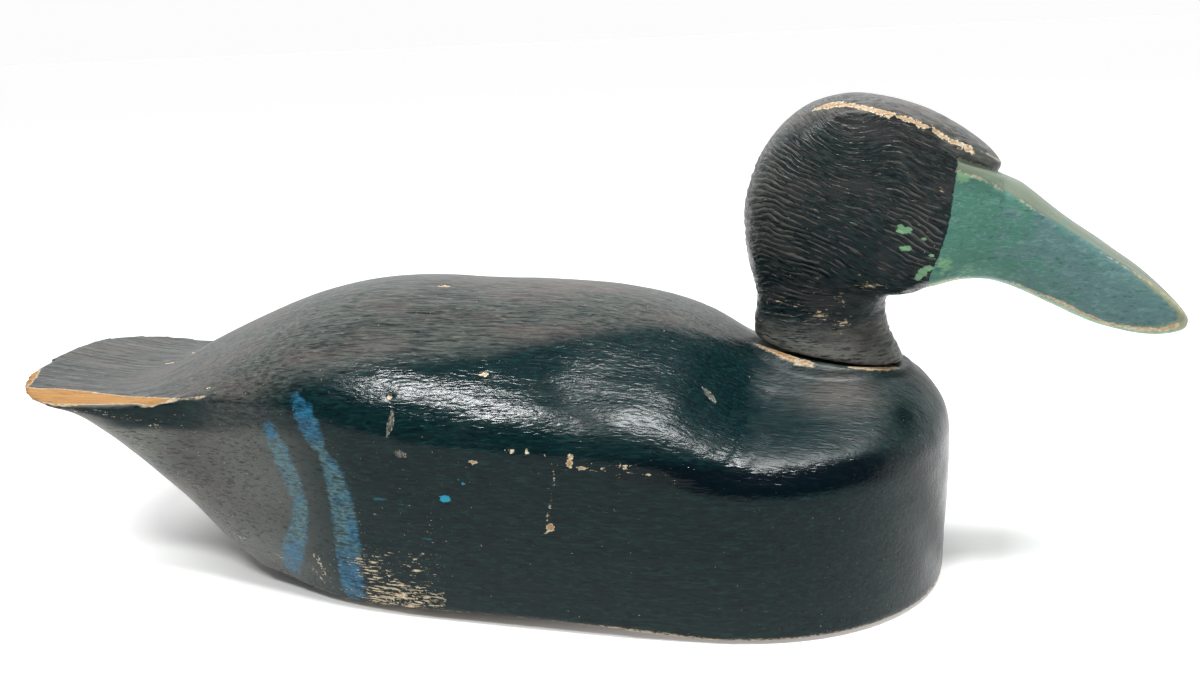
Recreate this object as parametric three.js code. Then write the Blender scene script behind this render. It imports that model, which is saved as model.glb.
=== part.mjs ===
// Full-size working duck decoy: one carved block for body and tail, and one carved head that stands on it.
// Millimetres, +X towards the bill, +Y to the bird's left, +Z up, origin on the flat underside.
// Both pieces are lofts: the body is a row of cuts across X, the head a row of cuts fanned round the throat.
import * as THREE from 'three';
import { ParametricGeometry } from 'three/addons/geometries/ParametricGeometry.js';
import { mergeVertices } from 'three/addons/utils/BufferGeometryUtils.js';

// Overall lengths of the body block
const TAIL_TIP_X = -223;
const BREAST_X = 122.3;

// Plan of the body: widest behind the breast, an ellipse in front of that, a rounded paddle at the tail
const WIDEST_X = 45;
const WIDEST_HALF_WIDTH = 70.8;
const BREAST_POWER = 2.1;
const TAIL_ROUND_LENGTH = 47;
const TAIL_POWER = 2.8;

// The tail was carved by eye: it turns up a little on the left and its end runs slightly askew
const TAIL_TWIST = 0.032;
const TAIL_SKEW = -0.05;
const TAIL_TWIST_START_X = -176;
const TAIL_TWIST_FULL_X = -214;

// Joint between neck and body: a flat oval that slopes down to the front
const SEAT_REAR_X = 55.4;
const SEAT_FRONT_X = 107;
const SEAT_REAR_Z = 81.1;
const SEAT_FRONT_Z = 73.1;
const SEAT_HALF_WIDTH = 20;
const JOINT_GAP_FRONT = 0.5;
const JOINT_GAP_REAR = 1.5;
const SEAT_MARGIN = 1;

// Breast: top rounds over into an upright front that tucks in at the foot
const BREAST_LEDGE_Z = 48;
const BREAST_ROUND_START_X = 97;
const BREAST_ROUND_RISE = 27;
const BREAST_ROUND_POWER = 2;
const FOOT_TUCK = 1.3;
const FOOT_TUCK_START_X = 60;
const FOOT_TUCK_TOP_Z = 45;

// Fineness of the two lofts
const BODY_STATIONS = 80;
const UNDERSIDE_STEPS = 8;
const WALL_STEPS = 3;
const DOME_STEPS = 11;
const HEAD_RINGS_PER_STATION = 2;
const HEAD_STEPS_AROUND = 22;
const SEAM_TOLERANCE = 0.001;

// A smooth line through hand-picked [x, value] points
function line(...points) {
  const xs = points.map((point) => point[0]);
  const values = points.map((point) => point[1]);
  const curve = new THREE.CubicInterpolant(xs, values, 1);
  return (x) => curve.evaluate(THREE.MathUtils.clamp(x, xs[0], xs[xs.length - 1]))[0];
}

// Lines that run from tail to breast: half width, crown of the back, shoulder, keel, depth of upright wall
const sideLine = line(
  [-227, 46.5], [-162, 46.5], [-137, 47.5], [-120, 51], [-100, 56], [-83, 60.2],
  [-61, 64], [-26, 67.4], [6, 69.8], [30, 70.8], [WIDEST_X, WIDEST_HALF_WIDTH], [123, WIDEST_HALF_WIDTH],
);
const backLine = line(
  [-227, 71.5], [-204, 67.8], [-178, 66], [-167, 69.2], [-156, 76.2], [-141, 83.4], [-124, 91], [-107, 97.2],
  [-90, 101], [-74, 102.8], [-57, 102.8], [-44, 101.9], [-21, 101.3], [1, 100], [15, 97.8], [30, 94.4],
  [43.5, 88.6], [SEAT_REAR_X, 81.3], [70, 79.5], [107, 74.5], [123, 72],
);
const shoulderLine = line(
  [-227, 71.2], [-204, 67.6], [-180, 65.8], [-161, 66.5], [-145, 68.8], [-131, 70], [-118, 69.8],
  [-107, 68.6], [-91, 65.5], [-72, 60], [-54, 57], [-29, 56], [10, 56.5], [30, 55],
  [43, 52], [56, 50.4], [84, 50.8], [100, 52], [BREAST_X, BREAST_LEDGE_Z],
);
const keelLine = line(
  [-225, 69.6], [-214, 66.8], [-202, 60.5], [-190, 49.6], [-178, 37.6], [-167, 27.4], [-158, 20],
  [-150, 14], [-143, 8.6], [-137, 4.6], [-131, 1.6], [-125, 0.2], [-118, 0], [-110, 0], [123, 0],
);
const wallDepth = line(
  [-227, 1.8], [-200, 1.9], [-185, 2.5], [-172, 4.2], [-165, 5.8], [-158, 7.6], [-142, 11.6], [-120, 14],
  [-105, 18], [-90, 28], [-75, 42], [-54, 50.5], [-29, 50.5], [10, 51.5], [30, 52.5],
  [43, 49.8], [56, 48.3], [84, 48.8], [100, 50], [123, 46],
);
// How square the section is below its upright wall
const undersideSquareness = line(
  [-227, 1.05], [-195, 1.1], [-180, 1.5], [-160, 2], [-145, 2.6], [-133, 3.7], [-120, 5.6], [-107, 7.6],
  [-95, 12], [-83, 17], [-72, 18], [-60, 12], [10, 9], [30, 20], [123, 24],
);
// The dome leaves the shoulder upright on the body and level on the tail
const domeLean = line([-227, 0.36], [-170, 0.34], [-150, 0.18], [-132, 0.06], [-118, 0], [123, 0]);
const domeRise = line(
  [-227, 0], [-170, 0], [-150, 0.04], [-132, 0.2], [-110, 0.36], [-50, 0.36], [0, 0.3], [45, 0.16],
  [90, 0.2], [110, 0.42], [123, 0.6],
);
const domeCrown = line(
  [-227, 0.5], [-150, 0.32], [-120, 0.46], [-50, 0.5], [20, 0.42], [56, 0.38], [123, 0.45],
);

// Hollows worked with a rasp, mirrored on both sides: place, half length, half width and depth
const HOLLOWS = [
  { x: 66, y: 36, length: 17, width: 13, depth: 4.2 },
  { x: 14, y: 55, length: 14, width: 11, depth: 1.4 },
  { x: 44, y: 50, length: 14, width: 9, depth: 2.2 },
];

function seatHeight(x) {
  return THREE.MathUtils.mapLinear(x, SEAT_REAR_X, SEAT_FRONT_X, SEAT_REAR_Z, SEAT_FRONT_Z);
}

// Falls from 1 to 0 along a rounded end of the given length, like the quarter of a superellipse
function roundedEnd(distance, length, power) {
  const along = THREE.MathUtils.clamp(1 - distance / length, 0, 1);
  return Math.pow(1 - Math.pow(along, power), 1 / power);
}

// The tail narrows and thins towards its tip by the same share
function tailShare(x) {
  return roundedEnd(x - TAIL_TIP_X, TAIL_ROUND_LENGTH, TAIL_POWER);
}

function halfWidth(x) {
  const breast = roundedEnd(BREAST_X - x, BREAST_X - WIDEST_X, BREAST_POWER);
  return sideLine(x) * tailShare(x) * breast;
}

function topHeight(x) {
  const breast = roundedEnd(BREAST_X - x, BREAST_X - BREAST_ROUND_START_X, BREAST_ROUND_POWER);
  const rounded = BREAST_LEDGE_Z + BREAST_ROUND_RISE * breast;
  if (x > BREAST_ROUND_START_X) return Math.min(backLine(x), rounded);
  return THREE.MathUtils.lerp(shoulderLine(x), backLine(x), tailShare(x));
}

function keelHeight(x) {
  const wallFoot = shoulderLine(x) - wallDepth(x);
  return Math.max(0, THREE.MathUtils.lerp(wallFoot, keelLine(x), tailShare(x)));
}

function hollowDepth(x, y) {
  let depth = 0;
  for (const hollow of HOLLOWS) {
    const along = (x - hollow.x) / hollow.length;
    const across = (Math.abs(y) - hollow.y) / hollow.width;
    depth += hollow.depth * Math.exp(-along * along - across * across);
  }
  return depth;
}

// Below the upright wall: the quarter of a superellipse from the keel out to the foot of the wall
function undersidePoint(x, part) {
  const wallFoot = shoulderLine(x) - wallDepth(x);
  const keel = keelHeight(x);
  const angle = (part * Math.PI) / 2;
  const power = undersideSquareness(x);
  const reach = (Math.cos(angle) ** power + Math.sin(angle) ** power) ** (-1 / power);
  return [halfWidth(x) * reach * Math.sin(angle), wallFoot - (wallFoot - keel) * reach * Math.cos(angle)];
}

// Above the shoulder: one curve up to the crown, with the rasped hollows let into it
function domePoint(x, part) {
  const width = halfWidth(x);
  const shoulder = shoulderLine(x);
  const top = topHeight(x);
  const dome = new THREE.CubicBezierCurve(
    new THREE.Vector2(width, shoulder),
    new THREE.Vector2(width * (1 - domeLean(x)), shoulder + domeRise(x) * (top - shoulder)),
    new THREE.Vector2(width * domeCrown(x), top),
    new THREE.Vector2(0, top),
  );
  const point = dome.getPoint(part);
  const height = point.y - hollowDepth(x, point.x);
  const onSeat = x > SEAT_REAR_X - SEAT_MARGIN && x < SEAT_FRONT_X + SEAT_MARGIN;
  return [point.x, onSeat ? Math.min(height, seatHeight(x)) : height];
}

// Half section at x, from the keel at step 0 by underside, wall and dome to the crown
const HALF_STEPS = UNDERSIDE_STEPS + WALL_STEPS + DOME_STEPS;

function bodySection(x, step) {
  if (step <= UNDERSIDE_STEPS) return undersidePoint(x, step / UNDERSIDE_STEPS);
  const up = (step - UNDERSIDE_STEPS) / WALL_STEPS;
  if (up <= 1) return [halfWidth(x), shoulderLine(x) - wallDepth(x) * (1 - up)];
  return domePoint(x, (step - UNDERSIDE_STEPS - WALL_STEPS) / DOME_STEPS);
}

function footTuck(x, z) {
  const forward = Math.max(0, x - FOOT_TUCK_START_X) / (BREAST_X - FOOT_TUCK_START_X);
  const below = Math.max(0, 1 - z / FOOT_TUCK_TOP_Z);
  return FOOT_TUCK * forward ** 2 * below ** 2;
}

function bodySurface(u, v, target) {
  const x = THREE.MathUtils.lerp(TAIL_TIP_X, BREAST_X, (1 - Math.cos(Math.PI * u)) / 2);
  const side = v < 0.5 ? -1 : 1;
  const [out, z] = bodySection(x, HALF_STEPS * (v < 0.5 ? 2 * v : 2 - 2 * v));
  const y = side * out;
  const tail = THREE.MathUtils.smoothstep(-x, -TAIL_TWIST_START_X, -TAIL_TWIST_FULL_X);
  target.set(x - footTuck(x, z) + TAIL_SKEW * tail * y, y, z + TAIL_TWIST * tail * y);
}

// Stations of the head, each a cut across the block: front or lower edge, back or upper edge, half thickness,
// and how square the block is towards each of the two edges
const HEAD_STATIONS = [
  {
    lower: [SEAT_FRONT_X, SEAT_FRONT_Z + JOINT_GAP_FRONT],
    upper: [SEAT_REAR_X, SEAT_REAR_Z + JOINT_GAP_REAR],
    half: SEAT_HALF_WIDTH,
    square: [2, 2],
  },
  { lower: [105.1, 78.2], upper: [55.3, 88], half: 18.9, square: [2.1, 2.1] },
  { lower: [102, 84], upper: [56, 93], half: 17.6, square: [2.2, 2.2] },
  { lower: [100.7, 90], upper: [56.1, 98], half: 16.8, square: [2.4, 2.4] },
  { lower: [100.3, 94.4], upper: [54.8, 103.5], half: 16.8, square: [3, 2.6] },
  { lower: [101.2, 96.8], upper: [53.4, 109.5], half: 17.8, square: [4, 3] },
  { lower: [103, 97.6], upper: [52.5, 116.5], half: 19, square: [5.5, 3.6] },
  { lower: [105, 97.8], upper: [52.2, 124.5], half: 20, square: [7, 4.4] },
  { lower: [107, 97.8], upper: [53.3, 133.5], half: 20.6, square: [8.5, 5.2] },
  { lower: [108.8, 98], upper: [57.2, 143.8], half: 21, square: [9.5, 6] },
  { lower: [110.5, 98.4], upper: [64.3, 154.3], half: 21, square: [10, 7] },
  { lower: [112.5, 99.2], upper: [75, 162.2], half: 21, square: [12, 8] },
  { lower: [115, 100.1], upper: [89, 164.9], half: 21, square: [14, 9] },
  { lower: [118, 100.8], upper: [103, 162.2], half: 20.5, square: [12, 9] },
  { lower: [121.5, 101.6], upper: [114, 158.1], half: 19.6, square: [9, 8] },
  { lower: [125.5, 102], upper: [124, 152.2], half: 18.6, square: [6.5, 7] },
  { lower: [129.5, 102.1], upper: [131, 146], half: 17.6, square: [5.5, 6] },
  { lower: [132.5, 101.9], upper: [135.2, 140.2], half: 16.8, square: [5, 5] },
  { lower: [133.6, 101.7], upper: [135.4, 138.2], half: 16.2, square: [5, 5] },
  { lower: [139, 100.2], upper: [142, 134.6], half: 15.6, square: [5, 6] },
  { lower: [147, 96.6], upper: [152, 126.4], half: 15.3, square: [5.5, 6] },
  { lower: [156, 92.2], upper: [162, 118.8], half: 15.4, square: [6, 6] },
  { lower: [165, 88], upper: [172, 111.8], half: 15.6, square: [6, 6] },
  { lower: [175, 85.4], upper: [181, 105], half: 15.4, square: [6, 5.5] },
  { lower: [183.5, 84.3], upper: [187.8, 98.6], half: 14.4, square: [5, 5] },
  { lower: [189.8, 85], upper: [192.2, 93.8], half: 12, square: [4.5, 4.5] },
  { lower: [193.6, 86], upper: [194.6, 90.4], half: 8, square: [3.5, 3.5] },
  { lower: [195.2, 88.1], upper: [195.2, 88.1], half: 0, square: [2, 2] },
];

function edgeCurve(side) {
  const points = HEAD_STATIONS.map((station) => new THREE.Vector3(station[side][0], 0, station[side][1]));
  return new THREE.CatmullRomCurve3(points, false, 'centripetal');
}

const lowerEdge = edgeCurve('lower');
const upperEdge = edgeCurve('upper');

function stationValue(along, pick) {
  const place = along * (HEAD_STATIONS.length - 1);
  const before = Math.min(Math.floor(place), HEAD_STATIONS.length - 2);
  return THREE.MathUtils.lerp(pick(HEAD_STATIONS[before]), pick(HEAD_STATIONS[before + 1]), place - before);
}

// The first ring closes the flat foot of the neck
const HEAD_RINGS = HEAD_RINGS_PER_STATION * (HEAD_STATIONS.length - 1) + 1;

function headSurface(u, v, target) {
  const along = Math.max(0, (u * HEAD_RINGS - 1) / (HEAD_RINGS - 1));
  const lower = lowerEdge.getPoint(along);
  const upper = upperEdge.getPoint(along);
  if (u === 0) {
    target.lerpVectors(lower, upper, 0.5);
    return;
  }
  const angle = 2 * Math.PI * v;
  const across = Math.cos(angle);
  const power = stationValue(along, (station) => station.square[across > 0 ? 1 : 0]);
  const half = stationValue(along, (station) => station.half);
  target.lerpVectors(lower, upper, (1 + across) / 2);
  target.y = half * Math.sign(Math.sin(angle)) * Math.sqrt(Math.max(0, 1 - Math.abs(across) ** power));
}

// A loft whose open seam and collapsed ends are sewn into one closed skin
function closedSkin(surface, slices, stacks) {
  const loft = new ParametricGeometry(surface, slices, stacks);
  loft.deleteAttribute('normal');
  loft.deleteAttribute('uv');
  const sewn = mergeVertices(loft, SEAM_TOLERANCE);
  const corners = sewn.index.array;
  const kept = [];
  for (let i = 0; i < corners.length; i += 3) {
    const [a, b, c] = corners.slice(i, i + 3);
    if (a !== b && b !== c && c !== a) kept.push(a, b, c);
  }
  sewn.setIndex(kept);
  sewn.computeVertexNormals();
  return sewn;
}

const blackPaint = new THREE.MeshStandardMaterial({ color: 0x1b2225, roughness: 0.45, metalness: 0 });
const headPaint = new THREE.MeshStandardMaterial({ color: 0x20282b, roughness: 0.5, metalness: 0 });

function makeBody() {
  const body = new THREE.Mesh(closedSkin(bodySurface, BODY_STATIONS, 2 * HALF_STEPS), blackPaint);
  body.name = 'body';
  return body;
}

function makeHead() {
  const head = new THREE.Mesh(closedSkin(headSurface, HEAD_RINGS, HEAD_STEPS_AROUND), headPaint);
  head.name = 'head';
  return head;
}

const group = new THREE.Group();
group.add(makeBody(), makeHead());

export default group;
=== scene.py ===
"""Dressed duck decoy: carved relief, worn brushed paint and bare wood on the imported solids, in a studio."""
import itertools
import math

import bpy
import numpy as np
from mathutils import Matrix, Vector


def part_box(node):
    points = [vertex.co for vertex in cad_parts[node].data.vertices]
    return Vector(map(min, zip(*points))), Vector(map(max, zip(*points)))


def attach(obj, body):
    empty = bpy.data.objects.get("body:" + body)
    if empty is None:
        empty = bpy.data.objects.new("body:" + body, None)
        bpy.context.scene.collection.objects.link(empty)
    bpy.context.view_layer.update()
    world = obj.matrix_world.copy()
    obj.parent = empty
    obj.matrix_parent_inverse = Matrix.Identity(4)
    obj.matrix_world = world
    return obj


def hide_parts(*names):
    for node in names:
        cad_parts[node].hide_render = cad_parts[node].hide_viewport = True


bl_info = {
    "name": "Duck Decoy",
    "version": (1, 0, 0),
    "blender": (4, 5, 0),
    "location": "View3D > Sidebar > Decoy",
    "description": "Carved and painted finish of a wooden duck decoy, with its studio",
    "category": "Object",
}

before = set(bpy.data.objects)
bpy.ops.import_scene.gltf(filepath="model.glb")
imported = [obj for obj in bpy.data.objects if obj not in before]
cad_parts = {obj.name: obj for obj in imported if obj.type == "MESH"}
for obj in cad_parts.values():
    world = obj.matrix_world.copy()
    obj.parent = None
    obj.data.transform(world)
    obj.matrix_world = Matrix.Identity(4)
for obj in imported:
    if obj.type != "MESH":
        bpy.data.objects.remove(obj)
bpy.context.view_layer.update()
MM = 0.001

# A distance in millimetres at which no mark reaches
FAR = 60.0

# Whole numbers that scramble a place and a seed into noise, and how much of the result is kept
PLACE_MIXERS = (73856093, 19349663, 83492791)
SEED_MIXER = 2971215073
LAST_MIXER = 1274126177
LOW_31_BITS = 0x7FFFFFFF
LOW_16_BITS = 0xFFFF

# How far each layer of noise is moved from the one before, and how a finish's shift goes along X, Y and Z
LAYER_SHIFT = 17.3
FINISH_SHIFT = (1.0, 1.7, 0.6)

# Sockets of a Mix node, by their numbers
MIX_FACTOR = 0
MIX_NUMBERS = (2, 3)
MIX_COLOURS = (6, 7)
MIX_COLOUR_OUT = 2

# Turns between faces: joined into a quad, still square enough for one, kept as a crisp edge
FLAT_TURN = math.radians(30)
SKEW_TURN = math.radians(60)
CRISP_TURN = math.radians(38)

# Lines on the near side in millimetres, each place as (x, z, width)
BLUE_STROKES = [
    [(-104.5, 62, 5), (-100.4, 53.3, 7.6), (-97, 44.4, 7), (-94.8, 35.5, 6.2), (-96.2, 27.8, 6.8),
     (-100.4, 17.4, 9.6), (-103, 11, 8)],
    [(-92.6, 73, 3.4), (-89.4, 68.4, 7.6), (-86.6, 62.8, 8), (-84.6, 58.6, 5.6)],
    [(-82.4, 55, 4.6), (-79.4, 48.6, 8), (-77.6, 38.5, 9.2), (-77, 28.5, 9.8), (-77, 19.3, 10),
     (-76.8, 6, 8.8)],
]

# Scratches on the near side, each place as (x, z, width)
SCRATCHES = [
    [(-1.8, 56, 0.8), (-2.4, 50, 0.8)],
    [(-3.2, 47.5, 0.8), (-4, 42, 0.8)],
    [(-4.6, 41, 0.8), (-5.4, 37, 0.8)],
    [(-91.8, 18.2, 0.8), (-88.8, 12.4, 0.8)],
    [(-89.8, 17.5, 0.8), (-86.6, 7.4, 0.8)],
    [(-93.7, 13.4, 0.8), (-88.6, 6.5, 0.8)],
]

# Scrapes, each place as (x, y, z, width)
SCRAPES = [
    [(-56.8, -60.4, 72, 0.6), (-57.2, -63.3, 67.4, 2.8), (-58.5, -64.3, 63.2, 0.6)],
    [(41.4, -40.9, 75.2, 0.6), (43.9, -42.9, 72.7, 2.8), (46.4, -44.6, 70.2, 0.6)],
    [(-56.4, -64.7, 59, 0.6), (-54.2, -64.9, 58.2, 2.8), (-51.6, -65.2, 57.4, 0.6)],
    [(-8, 69, 51, 0.6), (-6, 69, 50, 2.8), (-3, 69, 49.4, 0.6)],
]

# Lines seen from above, each place as (x, y, width)
NECK_BARE = [
    [(56.6, -9, 0.6), (60.8, -13, 1.2), (65.4, -16.4, 1.5), (70.5, -19, 1.1), (76.6, -20.6, 0.3)],
    [(88, -19.7, 0.4), (94, -17.8, 1), (99.6, -14.6, 1.4), (104, -10.6, 0.8)],
]
TAIL_TIP = [(-214.5, -30.5, 2), (-219, -24, 6), (-221.6, -16, 3.6)]

# Lines on the side without a width, each place as (x, z)
SHOULDER_EDGE = [
    (1.9, 58.7), (13.1, 58), (25.6, 56.6), (38.7, 54.6), (46.3, 53.4), (58.8, 52.3), (71.2, 52.4),
    (83.6, 53), (96.2, 53.4), (109.5, 52),
]
TAIL_FACET_EDGE = [(-190, 64), (-178, 63.4), (-170, 62.8), (-160, 60.5), (-150, 58.8)]
BILL_LINE = [
    (125, 146.5), (120.6, 144), (120.3, 138), (119.6, 132.6), (119.1, 126.3), (118, 120.9),
    (116.3, 115.2), (114.8, 111.5), (113.1, 107.1), (111.7, 97),
]

# The bare ridge of the crown, each place as (x, y, z, width)
CROWN_RIDGE = [
    (76, -12.1, 160.4, 1.4), (80.7, -12.7, 161.5, 3.2), (86, -14.1, 161.8, 2.6), (89.4, -16.4, 160.9, 1),
    (95.3, -17.9, 159.6, 2.2), (101.4, -18.5, 157.6, 1.6), (105.4, -18.3, 156.5, 1.6),
    (112.1, -17.9, 153.2, 1.6), (118.6, -17.4, 149.6, 1), (124.4, -16.8, 145.7, 1.4),
]

# Edges of the lip and the bill on the near side, each place as (x, y, z)
LIP_EDGE = [
    (125, -16.4, 146), (128.3, -14.5, 145), (131, -12.4, 143.2), (133.2, -9.8, 141.6), (134.4, -5, 141),
]
BILL_TOP_EDGE = [
    (119.9, -19.1, 140.4), (126.7, -18.1, 137.7), (131.7, -17, 135.2), (137.3, -14.8, 131.6),
    (144.4, -14.5, 127), (150.7, -14.4, 123), (159.1, -14.2, 117.4), (167.5, -13.8, 111.6),
    (176, -13.4, 105.6), (182.1, -12.9, 101), (188.2, -11.9, 95.6), (191.5, -11.4, 92.2),
]
BILL_LOW_EDGE = [
    (112, -16.8, 102.8), (116.9, -17, 105), (125.5, -13.6, 104.4), (135, -12.4, 103.4),
    (140.3, -12, 102), (146.6, -12.6, 99.6), (152.7, -13.4, 97.4), (160.5, -13.6, 93.4),
    (168.8, -13.8, 89.8), (176.2, -14.6, 88.6), (182.3, -14.1, 87.9), (189.7, -12.5, 89.2),
]

# Ovals on the near side, as (x, z, half length, half height)
BLUE_SPOTS = [(-39.4, 43.5, 2.2, 1.2), (-34.2, 51, 1, 0.5), (-32.4, 49, 0.9, 0.5)]
FAINT_BLUE_SPOTS = [
    (-63, 41.5, 3, 0.8), (-56, 41, 2.6, 0.8), (-38, 33, 2, 0.5), (-47, 29, 2.4, 0.6), (-54, 27, 2, 0.6),
]
GREEN_SPOTS = [
    (105, 121.8, 2.6, 1.2), (103.6, 123, 1.2, 0.8), (105.4, 116, 1.9, 0.9), (110.8, 108, 1.5, 1.6),
    (112.6, 109.4, 1.6, 1), (109.4, 106.4, 1.1, 1.2), (113.4, 113.5, 1, 0.6), (111, 119, 0.9, 0.5),
]
RING_MARK = (-11, 34, 2.6, 5.2)

# Chips, as (x, y, z, half length, half height)
CHIPS = [
    (-58.8, -58.1, 75, 0.9, 1), (-52.4, -65.1, 57.7, 1, 0.8), (-27.9, -51.9, 81.4, 1.8, 0.8),
    (-28.7, -67.2, 56.5, 1.6, 0.7), (-16, -68.3, 61.2, 1.8, 0.8), (-10.4, -68.8, 60.8, 0.6, 1.4),
    (-4.6, -69.2, 60.3, 0.7, 0.6), (-2.8, -69.2, 62, 0.5, 0.5), (3.9, -69.5, 60.7, 1.1, 1.1),
    (3.3, -69.7, 58.1, 1.1, 1.6), (7, -69.8, 57, 1.9, 0.8), (14.4, -70.2, 57.2, 1.2, 0.6),
    (18.2, -70.3, 59, 0.9, 0.6), (20.4, -70.4, 58, 1.2, 0.6), (28.4, -70.6, 55.8, 1.1, 0.5),
    (32, -70.7, 55.4, 1, 0.4), (-4.2, -69.1, 36.3, 1.5, 1.5), (-5.9, -69, 34.4, 1, 0.6),
    (-54.6, -9.6, 101.8, 2.4, 1.1), (-50.6, -14, 101.4, 1, 0.7), (-131.5, -44.9, 72.8, 1.2, 0.5),
    (-178.8, 8.6, 66, 2, 1.4), (-174.5, 3, 66.4, 1, 0.7), (-176.9, 23.7, 66, 1.4, 0.8),
    (-160, -20, 69, 0.7, 0.5), (-47, 32, 89, 1.8, 1), (22, 44, 80, 1.4, 0.9), (-95, 58, 52, 1.6, 1.1),
    (48, 69, 40, 1.2, 0.8), (-20, 68, 58, 1.5, 0.7),
]

# Soft ovals on both sides, as (x, z, half length, half height, strength)
BODY_WEAR = [
    (-60, 5, 20, 9, 1), (-69, 16, 14, 9, 0.75), (-52, 17, 13, 9, 0.62), (-49, 7, 9, 8, 0.9),
    (-88, 12, 6, 7, 0.55), (-110, 12, 14, 5, 0.5), (-128, 17, 12, 5, 0.5), (-52, 30, 18, 14, 0.32),
    (-38, 58, 10, 3, 0.3), (14, 57, 26, 2.2, 0.5), (42, 54, 18, 2, 0.3), (-150, 42, 40, 20, 0.3),
    (-112, 40, 20, 20, 0.25),
]
HEAD_WEAR = [
    (66, 96.5, 9, 1.5, 0.7), (79, 93, 5, 2.4, 0.85), (86, 90, 4, 3.4, 0.8), (85, 98.5, 3, 2.6, 0.7),
    (95, 103.4, 6, 1.1, 1), (76, 101.6, 4, 0.9, 0.55), (66.4, 106.6, 3, 0.8, 0.6),
    (78, 106, 2.5, 0.7, 0.6), (90.6, 107, 2.2, 0.8, 0.6), (116, 134.6, 1.6, 1.4, 0.8),
    (60, 122, 8, 20, 0.2), (114, 118, 5, 10, 0.3),
]
PALE_PATCHES = [
    (122.6, 139, 4, 3.4, 1), (130, 138, 5, 3, 0.8), (121, 128, 3, 8, 0.5), (117, 110, 6, 4, 0.8),
    (126, 107.6, 8, 3, 0.6), (127, 124, 7, 7, 0.35),
]
RASPED = [
    (64, 132, 13, 22, 1), (72, 114, 16, 10, 0.85), (109, 121, 10, 16, 1), (88, 124, 18, 14, 0.3),
    (70, 100, 14, 5, 0.7), (70, 90, 14, 4, 0.4),
]

# Half width of the dulled back and height of the worn foot, as (x, value)
DULL_BACK = [(-130, 56), (-70, 49), (-28, 44), (-3, 36), (20, 26), (44, 15), (62, 0), (70, -20)]
FOOT_HEIGHTS = [
    (-130, 0.4), (-85, 0.6), (-62, 0.9), (-40, 1.5), (-8, 1.7), (20, 1.6), (40, 0.9), (120, 0.5),
]

# Inner line, outer line and least height of the bare wood on the tail, as (x, value)
TAIL_BARE_INNER = [
    (-222, -31), (-212, -33), (-207, -32.6), (-202, -31), (-194, -31), (-187, -31.2), (-178, -33),
    (-169, -36), (-159, -40), (-149, -44), (-141, -46),
]
TAIL_BARE_OUTER = [
    (-222, -60), (-202, -49), (-192, -45.4), (-185, -44.6), (-178, -43.8), (-171, -43.5), (-163, -44.2),
    (-155, -46.4), (-141, -49),
]
TAIL_BARE_HEIGHTS = [
    (-222, 66), (-206, 65.8), (-190, 65.5), (-172, 65.4), (-160, 65.9), (-153, 66.5), (-141, 68.6),
]

# Soft hills, as (middle, half sizes): two seen from the side, three from above, of which the one by the neck
# carries a painted highlight, and one on the breast that carries painted shade
SHOULDER_SWELL = ((25, 69.5), (26, 10))
SHOULDER_HOLLOW = ((-2, 71), (13, 8))
SHOULDER_SCOOP = ((61, 33), (9, 9))
SHOULDER_RASP = ((57, 44), (13, 17))
NECK_HIGHLIGHT_PAD = ((86, 29), (13, 8))
BREAST_SHADE = ((105.6, -32.7, 64), (3.5, 7, 7))

# Where the rasp was set on the shoulder, and its two directions seen from above
RASP_START = (58.0, 43.0)
RASP_ACROSS = (0.893, 0.449)
RASP_ALONG = (0.449, -0.893)

# Stretches in x, and one in z, from where a form or a finish is nothing to where it is full
BACK_START = (-150, -120)
TAIL_START = (-140, -160)
FACET_START = (-110, -142)
LIFT_REAR = (-72, -42)
LIFT_FRONT = (48, 22)
DARK_START = (5, 40)
EASED_START = (15, 50)
SHOULDER_FADE = (113, 92)
GROOVED_PAINT_START = (-130.0, -160.0)
GROOVED_PAINT_LEVEL = (58.0, 64.0)

# The front end and the top of the scuffs over the foot, and where and how fast the tail's bare wood ends
SCUFF_END_X = -41.5
SCUFF_TOP = 26
TAIL_BARE_THINS = -154
TAIL_BARE_THINNING = 0.08
TAIL_BARE_ENDS = -132
TAIL_BARE_ENDING = 0.4

# The neck's oval seat as (middle x, half length, half width), its falling level, and the lowest bare wood
NECK_SEAT = (81.2, 26.4, 20.4)
SEAT_REAR_X = 55.4
SEAT_REAR_LEVEL = 81.0
SEAT_FALL = 0.155
SEAT_MOST_RISE = 3.0
NECK_BARE_LOWEST = 66

# The crest of the rasp's course, and the falling line under the lip
COURSE_CREST = 61
LIP_LINE_X = 121.0
LIP_LINE_Z = 144.5
LIP_LINE_FALL = 0.393
LIP_LINE_COSINE = 0.93

# The floor in metres, with the oval under the decoy where it does not glow, a painted shadow, the field of
# the lamps and a strip of painted shade before the decoy
FLOOR_SIZE = 60.0
FLOOR_LEVEL = -0.3 * MM
UNDER_SHIFT = (0.03, 0.0, 0.0)
UNDER_SCALE = (7.2, 15.5, 0.0)
FIELD_SHIFT = (0.0, 0.5, 0.0)
STRIP_SHADE = 0.72

# The camera's sensor in millimetres, and the nearest place in view in metres
SENSOR_WIDTH = 36.0
NEAREST_IN_VIEW = 0.01

# Lamps in metres, as (start, end, width, share of the power)
LAMPS = [
    ((-0.59, -0.56, 1.1), (-0.3, -0.44, 1.1), 0.1, 0.56),
    ((-0.05, -0.22, 1.1), (0.46, -0.06, 1.1), 0.12, 0.84),
]


def smooth(value, low, high):
    """Rises smoothly from 0 at low to 1 at high, or falls where low is the larger."""
    part = np.clip((value - low) / (high - low), 0.0, 1.0)
    return part * part * (3.0 - 2.0 * part)


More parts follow.
